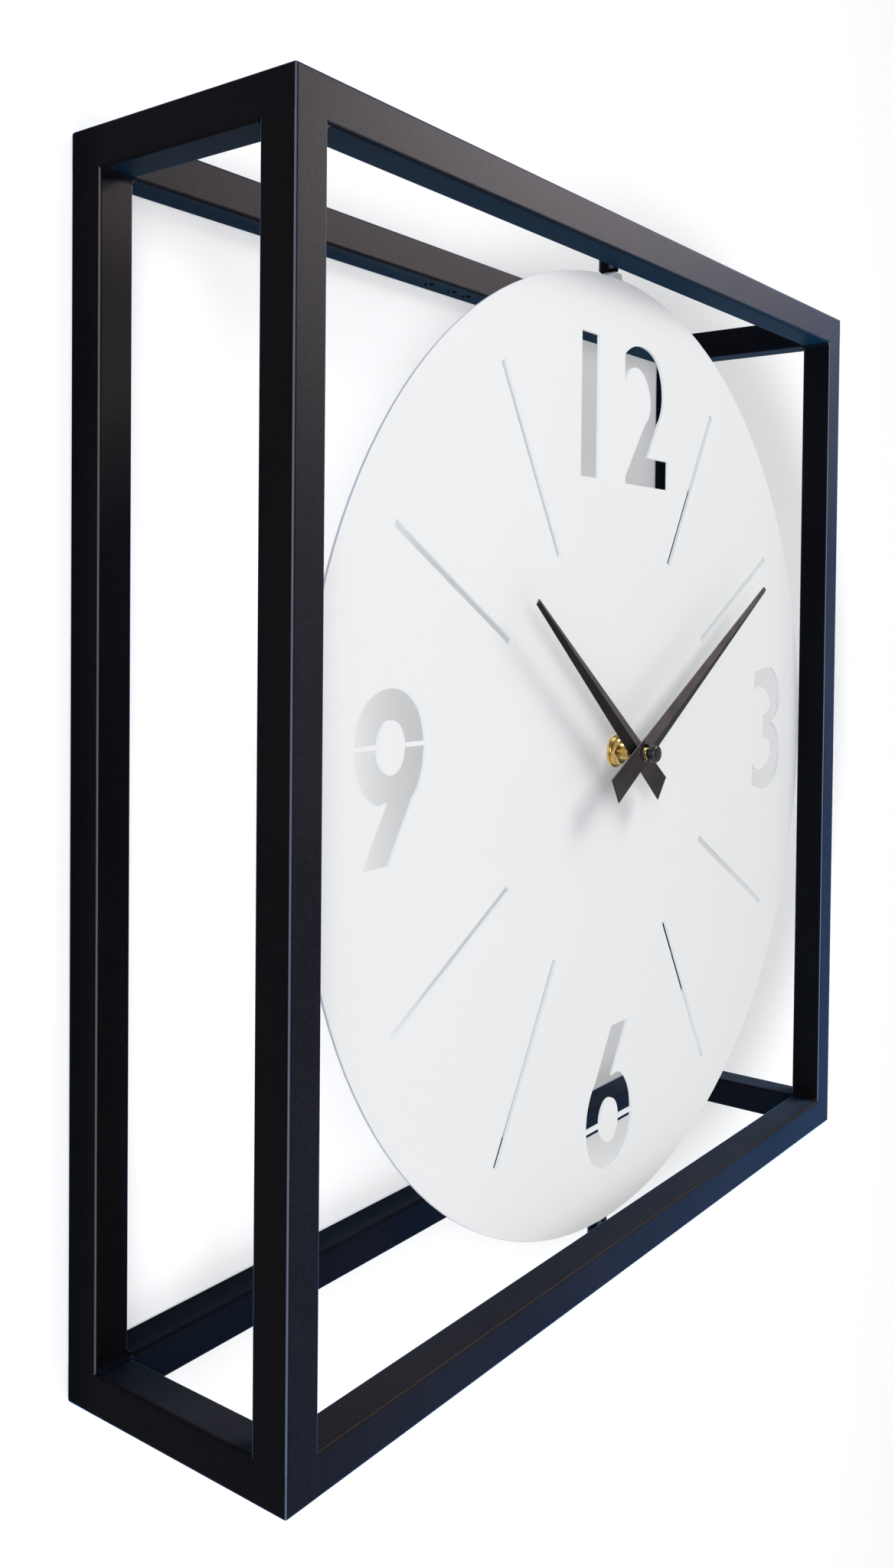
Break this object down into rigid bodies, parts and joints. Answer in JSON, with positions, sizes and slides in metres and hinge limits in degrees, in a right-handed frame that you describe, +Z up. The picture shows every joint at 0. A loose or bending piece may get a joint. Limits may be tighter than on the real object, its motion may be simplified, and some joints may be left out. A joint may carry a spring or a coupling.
{
  "type": "wall clock",
  "caption": "Quartz wall clock with a round white cut-out dial held on two pivots inside an open square box frame of black steel tube.",
  "frame": {"origin": "middle of the two hanging holes in the back top rail, on the wall plane", "axes": "+Z up, +Y towards the wall, +X to the right as seen from the front; the dial faces -Y"},
  "size_m": [0.5, 0.1269, 0.5],
  "materials": {
    "frame_black": "fine textured satin powder coat",
    "dial_white": "satin white paint",
    "hand_black": "satin black",
    "cap_black": "satin",
    "case_black": "fine spark texture",
    "brass": "bright turned",
    "steel": "bright",
    "acetal": "natural moulded",
    "rubber": "matt",
    "coil_copper": "enamelled copper wire",
    "board_green": "solder mask",
    "chip_black": "matt resin",
    "magnet_grey": "sintered",
    "battery_wrap": "printed sleeve, plain"
  },
  "bodies": {
    "frame": {"front_top_rail": "frame_black", "front_bottom_rail": "frame_black", "front_left_post": "frame_black", "front_right_post": "frame_black", "back_top_rail": "frame_black", "back_bottom_rail": "frame_black", "back_left_post": "frame_black", "back_right_post": "frame_black", "top_left_side_rail": "frame_black", "top_right_side_rail": "frame_black", "bottom_left_side_rail": "frame_black", "bottom_right_side_rail": "frame_black", "pivot_bushes": "frame_black", "pivot_pins": "steel"},
    "dial": {"dial_plate": "dial_white", "top_dial_lug": "dial_white", "bottom_dial_lug": "dial_white", "movement_case": "case_black", "movement_cover": "case_black", "train_plate": "acetal", "threaded_bush": "brass", "gasket": "rubber", "flat_washer": "brass", "flange_nut": "brass", "stator": "steel", "coil_bobbin": "acetal", "coil_winding": "coil_copper", "circuit_board": "board_green", "quartz_crystal": "steel", "clock_chip": "chip_black", "positive_contact": "steel", "negative_contact": "steel"},
    "minute": {"minute_pipe": "brass", "minute_hand": "hand_black", "minute_nut": "brass"},
    "centre": {"centre_wheel": "acetal"},
    "hour": {"hour_wheel": "brass", "hour_hand": "hand_black"},
    "seconds": {"seconds_wheel": "steel", "seconds_cap": "cap_black"},
    "third": {"third_wheel": "acetal"},
    "fifth": {"fifth_wheel": "acetal"},
    "rotor": {"rotor_pinion": "acetal", "rotor_magnet": "magnet_grey"},
    "motion": {"motion_wheel": "acetal"},
    "setting": {"setting_knob": "acetal"},
    "battery": {"battery_cell": "battery_wrap"}
  },
  "joints": [
    {"name": "dial_swivel", "type": "hinge", "parent": "frame", "child": "dial", "pos_m": [0, -0.0962, -0.2429], "axis": [0, 0, 1], "range_deg": [-20, 20]},
    {"name": "minute_spin", "type": "hinge", "parent": "dial", "child": "minute", "pos_m": [0, -0.103, -0.2429], "axis": [0, 1, 0], "continuous": true},
    {"name": "hour_spin", "type": "hinge", "parent": "dial", "child": "hour", "pos_m": [0, -0.103, -0.2429], "axis": [0, 1, 0], "continuous": true},
    {"name": "seconds_spin", "type": "hinge", "parent": "dial", "child": "seconds", "pos_m": [0, -0.103, -0.2429], "axis": [0, 1, 0], "continuous": true},
    {"name": "centre_spin", "type": "hinge", "parent": "dial", "child": "centre", "pos_m": [0, -0.103, -0.2429], "axis": [0, 1, 0], "continuous": true},
    {"name": "third_spin", "type": "hinge", "parent": "dial", "child": "third", "pos_m": [-0.00651, -0.103, -0.23639], "axis": [0, 1, 0], "continuous": true},
    {"name": "fifth_spin", "type": "hinge", "parent": "dial", "child": "fifth", "pos_m": [0.00662, -0.103, -0.23628], "axis": [0, 1, 0], "continuous": true},
    {"name": "rotor_spin", "type": "hinge", "parent": "dial", "child": "rotor", "pos_m": [0.01362, -0.103, -0.23628], "axis": [0, 1, 0], "continuous": true},
    {"name": "motion_spin", "type": "hinge", "parent": "dial", "child": "motion", "pos_m": [0, -0.103, -0.2357], "axis": [0, 1, 0], "continuous": true},
    {"name": "setting_spin", "type": "hinge", "parent": "dial", "child": "setting", "pos_m": [0, -0.103, -0.2285], "axis": [0, 1, 0], "continuous": true},
    {"name": "battery_slide", "type": "slide", "parent": "dial", "child": "battery", "axis": [0, 1, 0], "range_m": [0, 0.03]}
  ],
  "couplings": [
    {"joint": "hour_spin", "follows": "minute_spin", "ratio": 0.083333},
    {"joint": "centre_spin", "follows": "minute_spin", "ratio": 1},
    {"joint": "seconds_spin", "follows": "minute_spin", "ratio": 60},
    {"joint": "third_spin", "follows": "minute_spin", "ratio": -8},
    {"joint": "fifth_spin", "follows": "minute_spin", "ratio": -300},
    {"joint": "rotor_spin", "follows": "minute_spin", "ratio": 1800},
    {"joint": "motion_spin", "follows": "minute_spin", "ratio": -0.33333},
    {"joint": "setting_spin", "follows": "minute_spin", "ratio": 1}
  ]
}
